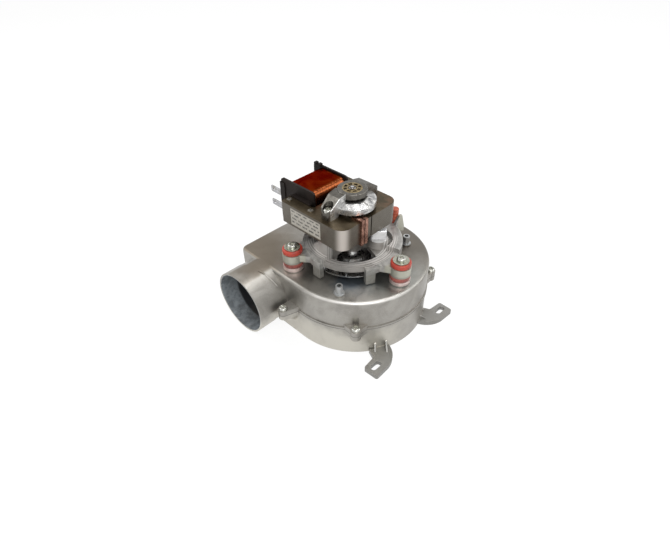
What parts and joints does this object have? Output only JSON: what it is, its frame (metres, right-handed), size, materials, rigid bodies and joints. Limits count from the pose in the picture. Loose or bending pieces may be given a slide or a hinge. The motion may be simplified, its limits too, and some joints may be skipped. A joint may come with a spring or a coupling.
{
  "type": "flue exhaust fan",
  "caption": "Centrifugal flue gas fan: die-cast scroll casing with a round side outlet, and a shaded-pole motor on rubber mounts above the impeller.",
  "frame": {"origin": "centre of the round inlet, on the underside of the casing", "axes": "+Z is the rotor axis, up from the casing to the motor; the outlet spigot points along -X and the coil is on the +Y side"},
  "size_m": [0.1661, 0.1808, 0.13],
  "materials": {
    "cast_aluminium": "die-cast aluminium, as cast",
    "bracket_casting": "die-cast aluminium, as cast",
    "bridge_casting": "die-cast aluminium, as cast, brighter edges",
    "gasket": "flat black gasket",
    "zinc_screw": "zinc plated, faintly yellow",
    "washer_steel": "zinc plated washer",
    "rivet_steel": "bare rivet",
    "retainer_steel": "yellow passivated sheet",
    "red_silicone": "red silicone rubber",
    "cap_rubber": "red rubber cap",
    "laminated_steel": "stacked laminations with a varnished, oxidised edge",
    "shading_copper": "bare copper",
    "winding_lacquer": "enamelled copper wire in a red-brown wrap",
    "bobbin_plastic": "black glass-filled plastic",
    "tin_terminal": "tinned blade",
    "label_film": "plain film label",
    "sintered_bronze": "oil-filled sintered bronze",
    "felt": "oiled felt",
    "seal_graphite": "graphite-filled seal",
    "galvanised_sheet": "galvanised sheet",
    "shaft_steel": "ground steel",
    "rotor_steel": "turned laminations",
    "cage_aluminium": "cast aluminium",
    "fan_aluminium": "pressed sheet"
  },
  "bodies": {
    "housing": {"casing_lower": "cast_aluminium", "casing_upper": "cast_aluminium", "casing_gasket": "gasket", "casing_screws": "zinc_screw", "mount_grommets": "red_silicone", "mount_washers": "washer_steel", "mount_screws": "zinc_screw", "motor_bracket": "bracket_casting", "rubber_cap": "cap_rubber", "stator_yoke": "laminated_steel", "stator_core": "laminated_steel", "stator_rivets": "rivet_steel", "shading_rings": "shading_copper", "coil_bobbin": "bobbin_plastic", "coil_winding": "winding_lacquer", "spade_terminals": "tin_terminal", "label_plate": "label_film", "bearing_bridge": "bridge_casting", "stator_screws": "zinc_screw", "upper_bearing": "sintered_bronze", "upper_felt": "felt", "upper_retainer": "retainer_steel", "lower_bearing": "sintered_bronze", "lower_felt": "felt", "lower_retainer": "retainer_steel", "shaft_seal": "seal_graphite", "seal_plate": "galvanised_sheet"},
    "rotor": {"shaft": "shaft_steel", "rotor_core": "rotor_steel", "rotor_cage": "cage_aluminium", "shaft_collars": "shaft_steel", "thrust_washers": "seal_graphite", "cooling_fan": "fan_aluminium", "impeller_disc": "galvanised_sheet", "impeller_blades": "galvanised_sheet", "impeller_shroud": "galvanised_sheet", "impeller_hub": "cage_aluminium", "hub_rivets": "rivet_steel", "impeller_washer": "washer_steel", "impeller_nut": "zinc_screw"}
  },
  "joints": [
    {"name": "rotor_spin", "type": "hinge", "parent": "housing", "child": "rotor", "pos_m": [0, 0, 0.09], "axis": [0, 0, 1], "continuous": true}
  ]
}
